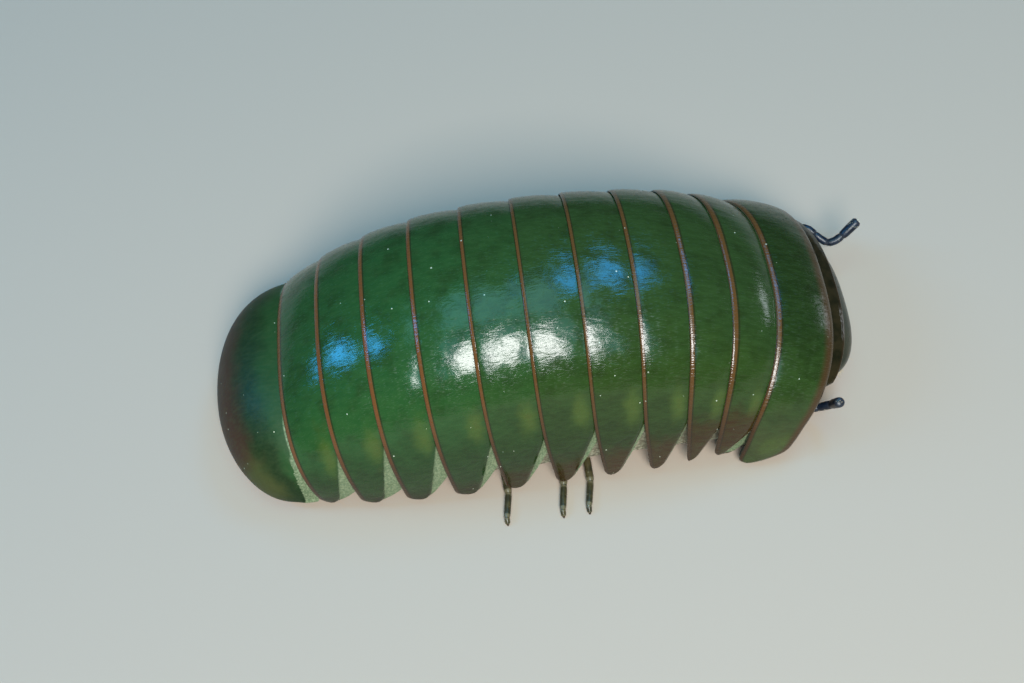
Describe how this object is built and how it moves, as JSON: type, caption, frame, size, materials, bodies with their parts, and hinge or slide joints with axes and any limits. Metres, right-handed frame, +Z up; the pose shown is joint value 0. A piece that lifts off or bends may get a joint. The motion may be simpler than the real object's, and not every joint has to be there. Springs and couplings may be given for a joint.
{
  "type": "giant green pill millipede",
  "caption": "Life-size green pill millipede walking: a high arched back of glossy overlapping plates, a domed end shield, dark legs and short antennae.",
  "frame": {"origin": "centre of the bounding box at floor level, under the middle of the belly", "axes": "+X towards the head, +Y to the animal's left, +Z up from the floor"},
  "size_m": [0.0785, 0.0406, 0.0233],
  "materials": {
    "green_shell": "glossy horny shell, deep emerald green",
    "belly_skin": "matt soft skin, pale grey-green",
    "dark_limb": "glossy horny limb, blue-black to dark olive",
    "head_shell": "glossy horny capsule, dark olive-green",
    "eye_lens": "glossy black lenses"
  },
  "bodies": {
    "root": {"thoracic_shield": "green_shell", "tergite_03": "green_shell", "tergite_04": "green_shell", "tergite_05": "green_shell", "tergite_06": "green_shell", "tergite_07": "green_shell", "tergite_08": "green_shell", "tergite_09": "green_shell", "tergite_10": "green_shell", "tergite_11": "green_shell", "tergite_12": "green_shell", "anal_shield": "green_shell", "collum": "green_shell", "trunk": "belly_skin", "head": "head_shell", "eye_left": "eye_lens", "eye_right": "eye_lens", "antenna_left": "dark_limb", "antenna_right": "dark_limb", "leg_01_pair": "dark_limb", "leg_02_left": "dark_limb", "leg_02_right": "dark_limb", "leg_03_left": "dark_limb", "leg_03_right": "dark_limb", "leg_04_left": "dark_limb", "leg_04_right": "dark_limb", "leg_05_left": "dark_limb", "leg_05_right": "dark_limb", "leg_06_left": "dark_limb", "leg_06_right": "dark_limb", "leg_07_left": "dark_limb", "leg_07_right": "dark_limb", "leg_08_left": "dark_limb", "leg_08_right": "dark_limb", "leg_09_left": "dark_limb", "leg_09_right": "dark_limb", "leg_10_left": "dark_limb", "leg_10_right": "dark_limb", "leg_11_left": "dark_limb", "leg_11_right": "dark_limb", "leg_12_left": "dark_limb", "leg_12_right": "dark_limb", "leg_13_left": "dark_limb", "leg_13_right": "dark_limb", "leg_14_left": "dark_limb", "leg_14_right": "dark_limb", "leg_15_left": "dark_limb", "leg_15_right": "dark_limb", "leg_16_left": "dark_limb", "leg_16_right": "dark_limb", "leg_17_left": "dark_limb", "leg_17_right": "dark_limb", "leg_18_left": "dark_limb", "leg_18_right": "dark_limb", "leg_19_left": "dark_limb", "leg_19_right": "dark_limb", "leg_20_left": "dark_limb", "leg_20_right": "dark_limb", "leg_21_left": "dark_limb", "leg_21_right": "dark_limb"}
  },
  "joints": []
}
